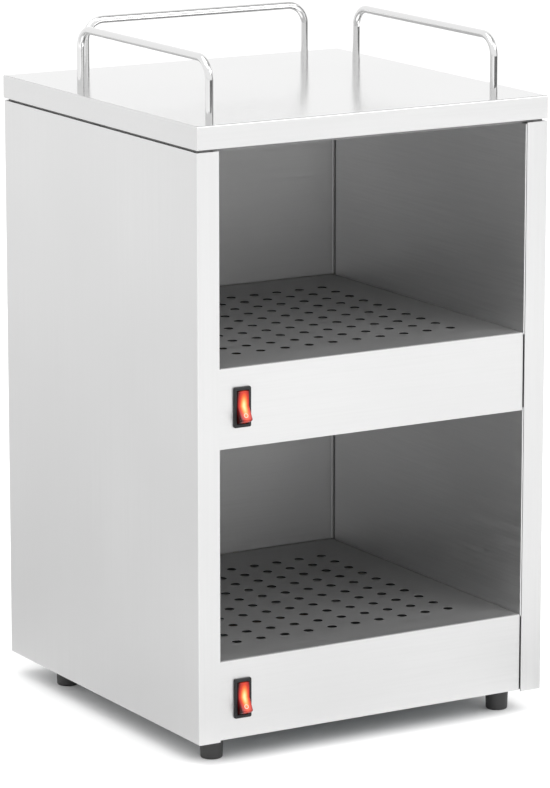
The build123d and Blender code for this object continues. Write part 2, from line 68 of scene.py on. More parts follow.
def new_finish(name, colour, metallic, roughness):
    """Starts a material from its even values and gives its tree and shader for the pattern."""
    material = bpy.data.materials.new(name)
    material.use_nodes = True
    shader = material.node_tree.nodes["Principled BSDF"]
    shader.inputs["Base Color"].default_value = linear(colour)
    shader.inputs["Metallic"].default_value = metallic
    shader.inputs["Roughness"].default_value = roughness
    return material, material.node_tree, shader


def dress(material, *names):
    """Gives CAD nodes whose shape is right their finish."""
    for name in names:
        for material_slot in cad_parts[name].material_slots:
            material_slot.material = material


# Hot-dip galvanised steel: zinc frozen in spangles about 9 mm across, each a slightly
# different cool grey and a little more or less dull than the next.
spangle_mm = 9
galvanised, tree, shader = new_finish("galvanised_steel", "#94989A", 1.0, 0.45)
place = add_node(tree, "ShaderNodeTexCoord", {})
spangle = add_node(tree, "ShaderNodeTexVoronoi",
                   {"Vector": place.outputs["Object"], "Scale": 1000 / spangle_mm, "Randomness": 1.0})
crystal = add_node(tree, "ShaderNodeSeparateColor", {"Color": spangle.outputs["Color"]})
zinc_tone = add_node(tree, "ShaderNodeMix",
                     {"Factor": crystal.outputs[0], 6: linear("#7E8386"), 7: linear("#A4A8AA")},
                     data_type="RGBA")
dullness = add_node(tree, "ShaderNodeMapRange",
                    {"Value": crystal.outputs[1], "To Min": 0.36, "To Max": 0.55})
tree.links.new(zinc_tone.outputs[2], shader.inputs["Base Color"])
tree.links.new(dullness.outputs["Result"], shader.inputs["Roughness"])
dress(galvanised, "base_plate", "lid_brackets", "upper_shelf_brackets",
      "lower_heater_brackets", "upper_heater_brackets")


# Feet: four short black rubber bumpers, moulded with a slight taper and a rounded lower edge.
# Each has a well in its sole for the screw that holds it to the base plate.
weld = 0.001
sharp_fold = radians(32)


def box_mm(node):
    """The lowest and highest corner of a CAD node, in millimetres."""
    low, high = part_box(node)
    return Vector(low) * 1000, Vector(high) * 1000


def mottle(tree, shader, grain_mm, detail=2.0, tones=(), toned=("Base Color",), dulls=(), relief=()):
    """Varies a finish with one noise of a real size: its tones, its roughness and its relief,
    which is given by strength and height in metres."""
    place = add_node(tree, "ShaderNodeTexCoord", {})
    grain = add_node(tree, "ShaderNodeTexNoise",
                     {"Vector": place.outputs["Object"], "Scale": 1000 / grain_mm, "Detail": detail})
    if tones:
        tone = add_node(tree, "ShaderNodeMix",
                        {"Factor": grain.outputs[0], 6: linear(tones[0]), 7: linear(tones[1])},
                        data_type="RGBA")
        for socket in toned:
            tree.links.new(tone.outputs[2], shader.inputs[socket])
    if dulls:
        gloss = add_node(tree, "ShaderNodeMapRange",
                         {"Value": grain.outputs[0], "To Min": dulls[0], "To Max": dulls[1]})
        tree.links.new(gloss.outputs["Result"], shader.inputs["Roughness"])
    if relief:
        bump = add_node(tree, "ShaderNodeBump",
                        {"Strength": relief[0], "Distance": relief[1], "Height": grain.outputs[0]})
        tree.links.new(bump.outputs["Normal"], shader.inputs["Normal"])


def lathe(bm, profile, steps):
    """Turns a profile of (radius, height) points round the Z axis into a closed skin."""
    verts = [bm.verts.new((radius, 0, height)) for radius, height in profile]
    edges = [bm.edges.new(pair) for pair in zip(verts, verts[1:])]
    bmesh.ops.spin(bm, geom=verts + edges, cent=(0, 0, 0), axis=(0, 0, 1), angle=2 * pi, steps=steps,
                   use_merge=True)
    bmesh.ops.remove_doubles(bm, verts=bm.verts, dist=weld)
    bmesh.ops.recalc_face_normals(bm, faces=bm.faces)


def finish_piece(bm, name, materials, body, slot, *nodes):
    """Makes the millimetre mesh an object in metres that rides on a body for its CAD nodes.
    Flat faces shade flat beside their folds."""
    bmesh.ops.scale(bm, vec=(0.001, 0.001, 0.001), verts=bm.verts)
    mesh = bpy.data.meshes.new(name)
    bm.to_mesh(mesh)
    bm.free()
    for material in materials:
        mesh.materials.append(material)
    mesh.polygons.foreach_set("use_smooth", [True] * len(mesh.polygons))
    mesh.set_sharp_from_angle(angle=sharp_fold)
    piece = bpy.data.objects.new(name, mesh)
    bpy.context.scene.collection.objects.link(piece)
    flat_shade = piece.modifiers.new("flat_shade", "WEIGHTED_NORMAL")
    flat_shade.keep_sharp = True
    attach(piece, body)
    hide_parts(*nodes)


# Moulded natural rubber: nearly black, dull, with a fine pebble from the mould.
pebble_mm = 0.9
rubber, tree, shader = new_finish("moulded_rubber", "#2E2E2E", 0.0, 0.55)
mottle(tree, shader, pebble_mm, dulls=(0.42, 0.68), relief=(0.2, 0.0001))

foot_corners = ("front_left", "front_right", "rear_left", "rear_right")
foot_top_radius = 8.9
foot_sole_radius = 8.3
foot_height = 19
foot_round = 1.2
foot_hole_radius = 2.2
well_radius = 5
well_depth = 9
foot_profile = [(foot_hole_radius, well_depth), (well_radius, well_depth), (well_radius, 0)]
foot_profile += [(foot_sole_radius - foot_round * (1 - sin(radians(a))), foot_round * (1 - cos(radians(a))))
                 for a in (0, 22, 45, 67, 90)]
foot_profile += [(foot_top_radius, foot_height), (foot_hole_radius, foot_height),
                 (foot_hole_radius, well_depth)]
for corner in foot_corners:
    low, high = box_mm(corner + "_foot")
    bm = bmesh.new()
    lathe(bm, foot_profile, 48)
    bmesh.ops.translate(bm, vec=((low.x + high.x) / 2, (low.y + high.y) / 2, low.z), verts=bm.verts)
    finish_piece(bm, "rubber_foot_" + corner, [rubber], "cabinet", "black_rubber", corner + "_foot")


# Screws: zinc-plated steel pan heads with a pressed cross recess. Eight hold the rear panel,
# four the feet and four the lid brackets. Each head sits down on the sheet that it holds.
def edge_loop(bm, corners):
    """A closed loop of edges through a row of corners."""
    verts = [bm.verts.new(corner) for corner in corners]
    return [bm.edges.new((verts[i - 1], verts[i])) for i in range(len(verts))]


def draw_out(bm, edges):
    """Extrudes edges in place, and gives the new vertices and the new edges between them."""
    drawn = bmesh.ops.extrude_edge_only(bm, edges=edges)["geom"]
    verts = [item for item in drawn if isinstance(item, bmesh.types.BMVert)]
    ends = [item for item in drawn if isinstance(item, bmesh.types.BMEdge)
            and all(vert in verts for vert in item.verts)]
    return verts, ends


def pan_screw(bm, head_radius, head_height, shank_radius, shank_length):
    """One screw with its head above the origin and its shank below, along Z."""
    flat_radius = head_radius * 0.62
    recess_reach = head_radius * 0.48
    recess_half = head_radius * 0.13
    recess_depth = head_height * 0.5
    recess_taper = 0.75
    point = 0.6
    bmesh.ops.create_circle(bm, segments=32, radius=flat_radius,
                            matrix=Matrix.Translation((0, 0, head_height)))
    rim = bm.edges[:]
    arm = [(recess_half, recess_half), (recess_half, recess_reach), (-recess_half, recess_reach)]
    cross = edge_loop(bm, [Matrix.Rotation(quarter * pi / 2, 3, "Z") @ Vector((x, y, head_height))
                           for quarter in range(4) for x, y in arm])
    bmesh.ops.triangle_fill(bm, use_beauty=True, edges=rim + cross, normal=(0, 0, 1))
    sunk, recess_floor = draw_out(bm, cross)
    bmesh.ops.translate(bm, vec=(0, 0, -recess_depth), verts=sunk)
    bmesh.ops.scale(bm, vec=(recess_taper, recess_taper, 1), verts=sunk)
    bmesh.ops.contextual_create(bm, geom=recess_floor)
    profile = [(head_radius * 0.86, head_height * 0.9), (head_radius * 0.97, head_height * 0.6),
               (head_radius, head_height * 0.2), (head_radius, 0), (shank_radius, 0),
               (shank_radius, point - shank_length), (shank_radius - point, -shank_length)]
    reached, level = flat_radius, head_height
    for radius, height in profile:
        verts, rim = draw_out(bm, rim)
        bmesh.ops.scale(bm, vec=(radius / reached, radius / reached, 1), verts=verts)
        bmesh.ops.translate(bm, vec=(0, 0, height - level), verts=verts)
        reached, level = radius, height
    bmesh.ops.contextual_create(bm, geom=rim)
    bmesh.ops.recalc_face_normals(bm, faces=bm.faces)


def set_out(bm, places):
    """Copies the shape made at the origin to each place, and takes the pattern away."""
    pattern = bm.verts[:] + bm.edges[:] + bm.faces[:]
    pattern_verts = bm.verts[:]
    for matrix in places:
        copy = bmesh.ops.duplicate(bm, geom=pattern)
        copied = [item for item in copy["geom"] if isinstance(item, bmesh.types.BMVert)]
        bmesh.ops.transform(bm, matrix=matrix, verts=copied)
    bmesh.ops.delete(bm, geom=pattern_verts, context="VERTS")


# Bright zinc plating over steel: light cool grey with soft cloudy patches a few millimetres wide.
cloud_mm = 3
zinc_plate, tree, shader = new_finish("zinc_plated_steel", "#C4C6C8", 1.0, 0.3)
mottle(tree, shader, cloud_mm, detail=3.0, tones=("#AEB1B4", "#D6D7D6"), dulls=(0.2, 0.42))
dress(zinc_plate, "rail_nuts")

screw_head = 3.5
screw_shank = 2
rear_screw_length = 6
rear_rows = 4
rear_face = box_mm("rear_panel")[1].y
rear_low, rear_high = box_mm("rear_panel_screws")
rear_first = rear_low.z + screw_head
rear_step = (rear_high.z - rear_low.z - 2 * screw_head) / (rear_rows - 1)
bm = bmesh.new()
pan_screw(bm, screw_head, rear_high.y - rear_face, screw_shank, rear_screw_length)
outward = Matrix.Rotation(-pi / 2, 4, "X")
set_out(bm, [Matrix.Translation((x, rear_face, rear_first + row * rear_step)) @ outward
             for x in (rear_low.x + screw_head, rear_high.x - screw_head) for row in range(rear_rows)])
finish_piece(bm, "rear_pan_screws", [zinc_plate], "cabinet", "zinc_plated", "rear_panel_screws")

foot_low, foot_high = box_mm("foot_screws")
feet_at = [sum(box_mm(corner + "_foot"), Vector()) / 2 for corner in foot_corners]
bm = bmesh.new()
pan_screw(bm, screw_head, well_depth - foot_low.z, screw_shank, foot_high.z - well_depth)
downward = Matrix.Rotation(pi, 4, "X")
set_out(bm, [Matrix.Translation((at.x, at.y, well_depth)) @ downward for at in feet_at])
finish_piece(bm, "foot_pan_screws", [zinc_plate], "cabinet", "zinc_plated", "foot_screws")

lid_low, lid_high = box_mm("lid_screws")
bracket_under = box_mm("ceiling_panel")[0].z
lid_screws_at = [(x, y) for x in (lid_low.x + screw_head, lid_high.x - screw_head)
                 for y in (lid_low.y + screw_head, lid_high.y - screw_head)]
bm = bmesh.new()
pan_screw(bm, screw_head, bracket_under - lid_low.z, screw_shank, lid_high.z - bracket_under)
set_out(bm, [Matrix.Translation((x, y, bracket_under)) @ downward for x, y in lid_screws_at])
finish_piece(bm, "lid_pan_screws", [zinc_plate], "cabinet", "zinc_plated", "lid_screws")


# Side panels: two folded sheets of satin stainless steel. The front edge is folded round into
# the stile, and the other three into narrower flanges that take the rear panel, base and ceiling.
stroke_width_mm = 1.6
cast_mm = 140


def brushed_steel(name, colours, roughness, grain, stroke_mm):
    """Stainless steel ground with a belt along one axis: fine strokes that vary gloss and tone.
    The strokes are drawn eight times as wide as the real 0.2 mm, so that they show."""
    material, tree, shader = new_finish(name, colours[0], 1.0, roughness[0])
    place = add_node(tree, "ShaderNodeTexCoord", {})
    scale = [1000 / stroke_width_mm] * 3
    scale["XYZ".index(grain)] = 1000 / stroke_mm
    stretch = add_node(tree, "ShaderNodeMapping", {"Vector": place.outputs["Object"], "Scale": scale})
    stroke = add_node(tree, "ShaderNodeTexNoise",
                      {"Vector": stretch.outputs["Vector"], "Scale": 1.0, "Detail": 2.0})
    cast = add_node(tree, "ShaderNodeTexNoise",
                    {"Vector": place.outputs["Object"], "Scale": 1000 / cast_mm, "Detail": 1.0})
    blend = add_node(tree, "ShaderNodeMath", {0: stroke.outputs[0], 1: cast.outputs[0]},
                     operation="MULTIPLY")
    spread = add_node(tree, "ShaderNodeMapRange",
                      {"Value": blend.outputs[0], "From Min": 0.12, "From Max": 0.4})
    tone = add_node(tree, "ShaderNodeMix",
                    {"Factor": spread.outputs["Result"], 6: linear(colours[0]), 7: linear(colours[1])},
                    data_type="RGBA")
    gloss = add_node(tree, "ShaderNodeMapRange",
                     {"Value": stroke.outputs[0], "From Min": 0.3, "From Max": 0.7,
                      "To Min": roughness[0], "To Max": roughness[1]})
    relief = add_node(tree, "ShaderNodeBump",
                      {"Strength": 0.08, "Distance": 0.0001, "Height": stroke.outputs[0]})
    tree.links.new(tone.outputs[2], shader.inputs["Base Color"])
    tree.links.new(gloss.outputs["Result"], shader.inputs["Roughness"])
    tree.links.new(relief.outputs["Normal"], shader.inputs["Normal"])
    return material


# Satin stainless steel, ground upright: pale neutral grey with a soft wide sheen.
satin_steel = brushed_steel("satin_stainless_steel", ("#CECECE", "#D2D2D2"), (0.38, 0.44), "Z", 110)
flange = 12
stile = 18
fold_radius = 1.1
body_sheet = 1.0
near = 1.0
for side, name in ((-1, "left_side_panel"), (1, "right_side_panel")):
    low, high = box_mm(name)
    outer = max(abs(low.x), abs(high.x))
    span = Vector((flange, high.y - low.y, high.z - low.z))
    centre = Vector((-outer + flange / 2, (low.y + high.y) / 2, (low.z + high.z) / 2))
    bm = bmesh.new()
    bmesh.ops.create_cube(bm, size=1, matrix=Matrix.Translation(centre) @ Matrix.Diagonal((*span, 1)))
    bmesh.ops.delete(bm, geom=[f for f in bm.faces if f.normal.x > 0.9], context="FACES_ONLY")
    front_edge = [e for e in bm.edges
                  if all(v.co.x > near - outer and v.co.y < low.y + near for v in e.verts)]
    widened = draw_out(bm, front_edge)[0]
    bmesh.ops.translate(bm, vec=(stile - flange, 0, 0), verts=widened)
    bmesh.ops.bevel(bm, geom=[e for e in bm.edges if all(v.co.x < near - outer for v in e.verts)],
                    offset=fold_radius, segments=5, profile=0.5, affect="EDGES", material=-1)
    bmesh.ops.scale(bm, vec=(-side, 1, 1), verts=bm.verts)
    if side > 0:
        bmesh.ops.reverse_faces(bm, faces=bm.faces)
    bmesh.ops.solidify(bm, geom=bm.faces[:], thickness=body_sheet)
    finish_piece(bm, name.replace("_panel", "_folded_sheet"), [satin_steel], "cabinet", "stainless_body",
                 name)


# Rear panel: a flat sheet of the same satin stainless steel, screwed to the rear flanges.
# It has a round hole low down for the cord gland.
dress(satin_steel, "rear_panel")


# Cord gland: a moulded nylon fitting with a hexagonal collar, a domed nose and a through bore,
# held in the rear panel by its locknut inside. A terminal block sits behind it in the box.
def circle_edges(bm, radius, centre, segments):
    """A loop of edges for one round hole."""
    ring = bmesh.ops.create_circle(bm, segments=segments, radius=radius, matrix=Matrix.Translation(centre))
    return list({edge for vert in ring["verts"] for edge in vert.link_edges})


def thicken(bm, faces, move):
    """Extrudes flat faces along a move, and gives the faces at its end."""
    grown = bmesh.ops.extrude_face_region(bm, geom=faces)["geom"]
    bmesh.ops.translate(bm, vec=move, verts=[item for item in grown if isinstance(item, bmesh.types.BMVert)])
    return [item for item in grown if isinstance(item, bmesh.types.BMFace)]


# Moulded nylon: black with a faint grey bloom and a fine eroded texture from the mould.
mould_mm = 0.6
nylon, tree, shader = new_finish("moulded_black_nylon", "#1C1C1D", 0.0, 0.45)
shader.inputs["Specular IOR Level"].default_value = 0.25
mottle(tree, shader, mould_mm, detail=3.0, tones=("#161617", "#2A2A2C"), dulls=(0.35, 0.55),
       relief=(0.12, 0.0001))
dress(nylon, "gland_locknut")

gland_low, gland_high = box_mm("cord_gland")
gland_axis = (105, 52)
gland_bore = 4
gland_tail_radius = 7.4
gland_edge = 0.5
gland_steps = 40
hex_across = 20
hex_thick = 3.5
hex_corner = hex_across / 2 / cos(pi / 6)
dome_foot = 9.0
nose_length = gland_high.y - rear_face
tail_length = rear_face - gland_low.y
gland_profile = [(dome_foot, hex_thick), (8.8, hex_thick + 0.6), (8.2, nose_length - 1.6),
                 (7.5, nose_length - 0.5), (6.5, nose_length), (gland_bore + gland_edge, nose_length),
                 (gland_bore, nose_length - gland_edge), (gland_bore, -tail_length),
                 (gland_tail_radius - gland_edge, -tail_length),
                 (gland_tail_radius, gland_edge - tail_length), (gland_tail_radius, 0)]
bm = bmesh.new()
bmesh.ops.create_circle(bm, cap_ends=True, segments=6, radius=hex_corner)
thicken(bm, bm.faces[:], (0, 0, hex_thick))
bmesh.ops.recalc_face_normals(bm, faces=bm.faces)
bmesh.ops.bevel(bm, geom=bm.edges[:], offset=gland_edge, segments=2, profile=0.5, affect="EDGES", material=-1)
caps = [f for f in bm.faces if abs(f.normal.z) > 0.99]
for cap in caps:
    level = cap.calc_center_median().z
    opening = dome_foot if level > hex_thick / 2 else gland_tail_radius
    bmesh.ops.triangle_fill(bm, use_beauty=True, normal=cap.normal,
                            edges=list(cap.edges) + circle_edges(bm, opening, (0, 0, level), gland_steps))
bmesh.ops.delete(bm, geom=caps, context="FACES_ONLY")
lathe(bm, gland_profile, gland_steps)
gland_place = Matrix.Translation((gland_axis[0], rear_face, gland_axis[1])) @ outward
bmesh.ops.transform(bm, matrix=gland_place, verts=bm.verts)
finish_piece(bm, "nylon_cord_gland", [nylon], "cabinet", "black_nylon", "cord_gland")


# Bay lining: thin stainless sheets, ground along their run. The back liner of each bay is bent
# forward at both sides, and a narrow joint stays open between that bend and each side liner. The
# underpan is the lower bay's ceiling.
def bent_sheet(bm, points, bend, thickness, levels, toward):
    """An upright sheet, bent at the inner points of its plan, that thickens away from one side."""
    verts = [bm.verts.new((x, y, levels[0])) for x, y in points]
    for pair in zip(verts, verts[1:]):
        bm.edges.new(pair)
    bmesh.ops.bevel(bm, geom=verts[1:-1], offset=bend, segments=6, profile=0.5, affect="VERTICES",
                    material=-1)
    raised = draw_out(bm, bm.edges[:])[0]
    bmesh.ops.translate(bm, vec=(0, 0, levels[1] - levels[0]), verts=raised)
    bmesh.ops.recalc_face_normals(bm, faces=bm.faces)
    widest = max(bm.faces, key=lambda f: f.calc_area())
    if widest.normal.dot(Vector(toward)) < 0:
        bmesh.ops.reverse_faces(bm, faces=bm.faces)
    bmesh.ops.solidify(bm, geom=bm.faces[:], thickness=thickness)


# Ground stainless steel of the bays: the same steel throughout, its tone painted light on the side sheets and
# painted shade on the back ones, which are also duller.
bay_steel = brushed_steel("ground_bay_steel", ("#E4E4E4", "#ECECEC"), (0.36, 0.46), "Y", 60)
bay_back_shaded_steel = brushed_steel("ground_back_painted_shade_steel", ("#A8A8A8", "#B2B2B2"), (0.46, 0.58), "X", 60)
dress(bay_steel, "upper_underpan")
liner_sheet = 0.8
liner_front_bend = 1.0
liner_back_bend = 1.6
liner_lip = 0.6
liner_joint = 1.2
liner_clear = 0.1
for level, cover in (("lower", "upper_underpan"), ("upper", "ceiling_panel")):
    back_low, back_high = box_mm(level + "_back_liner")
    back_levels = (box_mm(level + "_shelf")[1].z + liner_clear,
                   min(back_high.z, box_mm(cover)[0].z - liner_clear))
    bend_end = back_low.y - liner_back_bend - liner_lip
    bm = bmesh.new()
    bent_sheet(bm, [(back_low.x, bend_end), (back_low.x, back_low.y), (back_high.x, back_low.y),
                    (back_high.x, bend_end)], liner_back_bend, liner_sheet, back_levels, (0, -1, 0))
    finish_piece(bm, level + "_bent_back_liner", [bay_back_shaded_steel], "cabinet", "stainless_bay",
                 level + "_back_liner")
    for side in ("left", "right"):
        low, high = box_mm(level + "_" + side + "_liner")
        edge, face = (low.x, high.x) if side == "left" else (high.x, low.x)
        bm = bmesh.new()
        bent_sheet(bm, [(edge, low.y), (face, low.y), (face, bend_end - liner_joint)],
                   liner_front_bend, liner_sheet, (low.z, high.z), (-face, 0, 0))
        finish_piece(bm, level + "_" + side + "_bent_liner", [bay_steel], "cabinet", "stainless_bay",
                     level + "_" + side + "_liner")


# Shelves: each is one stainless sheet, punched with a square field of holes and folded down all
# round. The front fold is the apron, which has a cut-out for the switch. The heater box is below.
def top_corners(low, high, inset):
    """The corners of a box's top, set in all round, in order."""
    return [(x, y, high.z) for x, y in ((low.x + inset, low.y + inset), (high.x - inset, low.y + inset),
                                        (high.x - inset, high.y - inset), (low.x + inset, high.y - inset))]


def pierced_sheet(bm, corners, holes):
    """A flat sheet inside a loop of corners, with a set of closed edge loops left open."""
    edges = edge_loop(bm, corners)
    bmesh.ops.triangle_fill(bm, use_beauty=True, edges=edges + [e for loop in holes for e in loop],
                            normal=(0, 0, 1))
    return edges


def cut_window(bm, face, corners):
    """Opens a window with these corners in a flat face, and gives its edges."""
    border = face.edges[:]
    normal = face.normal.copy()
    edges = edge_loop(bm, corners)
    bmesh.ops.delete(bm, geom=[face], context="FACES_ONLY")
    bmesh.ops.triangle_fill(bm, use_beauty=True, edges=border + edges, normal=normal)
    return edges


def roll_in(bm, edges, centre, steps):
    """Draws a hole's edge in and down, in (radius ratio, drop) steps."""
    for ratio, drop in steps:
        verts, edges = draw_out(bm, edges)
        bmesh.ops.scale(bm, vec=(ratio, ratio, 1), space=Matrix.Translation(-Vector(centre)), verts=verts)
        bmesh.ops.translate(bm, vec=(0, 0, -drop), verts=verts)


def fold_down(bm, edges, centre, radius, depth):
    """Folds the four edges of a flat sheet down through a bend, and gives the skirt's lower edges."""
    turns = [radians(a) for a in (0, 18, 36, 54, 72, 90)]
    for before, after in zip(turns, turns[1:]):
        run = radius * (sin(after) - sin(before))
        drop = radius * (cos(before) - cos(after))
        verts, edges = draw_out(bm, edges)
        for vert in verts:
            vert.co += Vector((copysign(run, vert.co.x - centre.x), copysign(run, vert.co.y - centre.y),
                               -drop))
    verts, edges = draw_out(bm, edges)
    bmesh.ops.translate(bm, vec=(0, 0, radius - depth), verts=verts)
    return edges


def face_up(bm):
    """Turns all faces of an open pan so that its top looks up."""
    bmesh.ops.recalc_face_normals(bm, faces=bm.faces)
    top = max(bm.faces, key=lambda f: (round(f.calc_center_median().z, 4), f.calc_area()))
    if top.normal.z < 0:
        bmesh.ops.reverse_faces(bm, faces=bm.faces)


# Ground stainless steel on the apron, and the same sheet on the shelf's top, rougher, with a darker tone that
# is painted shade.
apron_steel = brushed_steel("ground_apron_steel", ("#CECECE", "#D2D2D2"), (0.38, 0.44), "X", 90)
shelf_shaded_steel = brushed_steel("shelf_painted_shade_steel", ("#949494", "#9C9C9C"), (0.62, 0.74), "X", 60)

# Walls of the holes: dull steel whose dark tone is painted shade inside the holes.
hole_wall_grain_mm = 0.5
hole_wall_shade, tree, shader = new_finish("hole_wall_painted_shade_steel", "#323232", 1.0, 0.65)
mottle(tree, shader, hole_wall_grain_mm, tones=("#1C1C1C", "#303030"))

shelf_sheet = 1.0
shelf_fold = 1.1
hole_radius = 3.6
hole_rim = 0.9
hole_drop = 0.2
holes_across = 10
hole_pitch = 20.7
first_row = 41.6
hole_bends = [(hole_radius + hole_rim * (1 - sin(radians(a))), hole_drop * (1 - cos(radians(a))))
              for a in (0, 30, 60, 90)]
hole_steps = [(after[0] / before[0], after[1] - before[1])
              for before, after in zip(hole_bends, hole_bends[1:])]
hole_steps.append((1, shelf_sheet - hole_drop))
hole_field = hole_pitch * (holes_across - 1) / 2 + 2 * hole_radius
switch_x = -112.8
switch_up = 30
cutout = (12.3, 27.3)
corners = ((-1, -1), (1, -1), (1, 1), (-1, 1))
for level in ("lower", "upper"):
    low, high = box_mm(level + "_shelf")
    centre = (low + high) / 2
    bm = bmesh.new()
    hole_centres = [(hole_pitch * (i - (holes_across - 1) / 2), low.y + first_row + hole_pitch * j, high.z)
                    for i in range(holes_across) for j in range(holes_across)]
    holes = [circle_edges(bm, hole_radius + hole_rim, at, 20) for at in hole_centres]
    border = pierced_sheet(bm, top_corners(low, high, shelf_fold), holes)
    for loop, at in zip(holes, hole_centres):
        roll_in(bm, loop, at, hole_steps)
    lower_edges = fold_down(bm, border, centre, shelf_fold, high.z - low.z - shelf_sheet)
    front = [e for e in lower_edges if all(v.co.y < low.y + near for v in e.verts)]
    hem = draw_out(bm, front)[0]
    bmesh.ops.translate(bm, vec=(0, 0, -shelf_sheet), verts=hem)
    apron = max((f for f in bm.faces if abs(f.normal.y) > 0.9 and f.calc_center_median().y < centre.y),
                key=lambda f: f.calc_area())
    switch_z = low.z + switch_up
    cut_window(bm, apron, [(switch_x + x * cutout[0] / 2, low.y, switch_z + z * cutout[1] / 2)
                           for x, z in corners])
    face_up(bm)
    bmesh.ops.solidify(bm, geom=bm.faces[:], thickness=shelf_sheet)
    for part in bm.faces:
        middle = part.calc_center_median()
        steep = abs(part.normal.z) < 0.2
        punched = abs(middle.x) < hole_field and abs(middle.y - centre.y) < centre.y - low.y - first_row / 2
        # The shelf's top faces take its darker tone, painted shade.
        if middle.z > high.z - 2 * shelf_sheet and not steep:
            part.material_index = 1
        # The walls of the holes take the painted shade.
        elif middle.z > high.z - 2 * shelf_sheet and punched:
            part.material_index = 2
    finish_piece(bm, level + "_punched_shelf", [apron_steel, shelf_shaded_steel, hole_wall_shade], "cabinet",
                 "stainless_shelf", level + "_shelf")


# Heater boxes: tubular elements, disc thermostats, the terminal block and the looms between them.
# All of it hangs out of sight under the shelves, and keeps the shape that the frame gives it.
# Oxidised steel sheath: grey-brown, heat-stained in bands a couple of centimetres long.
stain_mm = 22
sheath, tree, shader = new_finish("oxidised_heater_sheath", "#5E564E", 1.0, 0.5)
mottle(tree, shader, stain_mm, detail=4.0, tones=("#4A4440", "#7A6C5C"))
dress(sheath, "lower_heater", "upper_heater")

# Glazed steatite ceramic: warm white with fine grey specks under a thin glaze.
speck_mm = 1.2
steatite, tree, shader = new_finish("glazed_steatite", "#E4DFD3", 0.0, 0.35)
place = add_node(tree, "ShaderNodeTexCoord", {})
speck = add_node(tree, "ShaderNodeTexNoise",
                 {"Vector": place.outputs["Object"], "Scale": 1000 / speck_mm, "Detail": 2.0})
few = add_node(tree, "ShaderNodeMapRange", {"Value": speck.outputs[0], "From Min": 0.62, "From Max": 0.72})
glaze_tone = add_node(tree, "ShaderNodeMix",
                      {"Factor": few.outputs["Result"], 6: linear("#E4DFD3"), 7: linear("#B9B2A4")},
                      data_type="RGBA")
tree.links.new(glaze_tone.outputs[2], shader.inputs["Base Color"])
dress(steatite, "lower_thermostat", "upper_thermostat", "terminal_block")

# Braided glass-fibre sleeve: off-white yarns about 1.5 mm wide crossing at a slant.
yarn_mm = 1.5
braid, tree, shader = new_finish("braided_glass_sleeve", "#CFC8B8", 0.0, 0.8)
place = add_node(tree, "ShaderNodeTexCoord", {})
slant = add_node(tree, "ShaderNodeMapping",
                 {"Vector": place.outputs["Object"], "Rotation": (0.6, 0.7, 0.78)})
yarn = add_node(tree, "ShaderNodeTexChecker",
                {"Vector": slant.outputs["Vector"], "Scale": 1000 / yarn_mm,
                 "Color1": linear("#D6D0C2"), "Color2": linear("#B2AA98")})
relief = add_node(tree, "ShaderNodeBump", {"Strength": 0.5, "Distance": 0.0003, "Height": yarn.outputs[1]})
tree.links.new(yarn.outputs[0], shader.inputs["Base Color"])
tree.links.new(relief.outputs["Normal"], shader.inputs["Normal"])
dress(braid, "lower_wiring_loom", "upper_wiring_loom")


# Switches: snap-in rocker switches of 30 x 14 mm with a moulded nylon housing and a hollow red
# rocker that a neon lamp lights from inside. The rocker tips on two trunnions.
# Stamped brass contacts: yellow metal, lightly tarnished in patches.
tarnish_mm = 4
brass, tree, shader = new_finish("stamped_brass", "#C9A75A", 1.0, 0.32)
mottle(tree, shader, tarnish_mm, detail=3.0, tones=("#B08D45", "#D8B868"), dulls=(0.24, 0.42))

# Neon lamp glass: clear tube with a warm, slightly uneven glow.
glow_mm = 2
neon, tree, shader = new_finish("neon_lamp_glass", "#FFD9B0", 0.0, 0.08)
shader.inputs["Emission Strength"].default_value = 1.0
mottle(tree, shader, glow_mm, tones=("#FF7A30", "#FFC070"), toned=("Emission Color",))

# Printed mark: pale ink on the rocker, slightly uneven, with a faint painted glow that stands in for the
# light from behind.
ink_mm = 0.8
mark_ink_painted_glow, tree, shader = new_finish("pale_mark_ink", "#FFB9A8", 0.0, 0.4)
shader.inputs["Emission Strength"].default_value = 0.25
mottle(tree, shader, ink_mm, tones=("#F79A86", "#FFB4A2"), toned=("Base Color", "Emission Color"))

bezel = (14.2, 30.0)
bezel_thick = 2.0
bezel_round = 0.7
bezel_corner = 1.3
window = (9.9, 24.8)
window_edge = 0.25
housing = (12.0, 27.0)
housing_depth = 22.0
back_wall = 2.5
clip_size = (5, 1.2, 4)
clip_barb = 0.6
catch_at = 1.6
rocker_width = 9.5
rocker_tip = (-6.30, 10.45)
rocker_valley = 3.5
rocker_sweep = radians(-45.3)
rocker_round = 0.5
rocker_wall = 1.0
trunnion_radius = 1.25
trunnion_span = 11.7
stem_radius = 1.8
stem_length = 8.2
stem_behind = 2.1
pivot_behind = 0.681
rest_tip = radians(-15)
face_slope = radians(15)
mark_inner = 1.2
mark_outer = 1.75
mark_height = 0.12
mark_sunk = 0.2
mark_along = 7.2
lamp_reach = (6.2, 60.0, 18.0)
lamp_aside = 0.4
lamp_above = 1.0
# Painted shade on the lens, dark towards its edges, and its painted glow, brightest at the lamp.
lens_painted_shade_tones = ((0.05, "#300404"), (0.18, "#701010"), (0.3, "#981C18"), (0.45, "#A4241C"), (1.0, "#B02C20"))
lens_painted_glow_tones = ((0.2, "#000000"), (0.44, "#743018"), (0.58, "#B0702C"), (0.72, "#DCB866"), (0.88, "#FFF4B0"))
window_mouth = [(x * (window[0] / 2 + window_edge), y * (window[1] / 2 + window_edge), bezel_thick)
                for x, y in corners]
window_steps = ((window_edge, window_edge), (0, bezel_thick + housing_depth - back_wall - window_edge))
mark_profile = [(mark_inner, -mark_sunk), (mark_inner, mark_height), (mark_outer, mark_height),
                (mark_outer, -mark_sunk), (mark_inner, -mark_sunk)]
mark_place = Matrix.Translation((0, -rocker_valley - mark_along * sin(face_slope),
                                 -mark_along * cos(face_slope)))
mark_tilt = Matrix.Rotation(pi / 2 - face_slope, 4, "X")
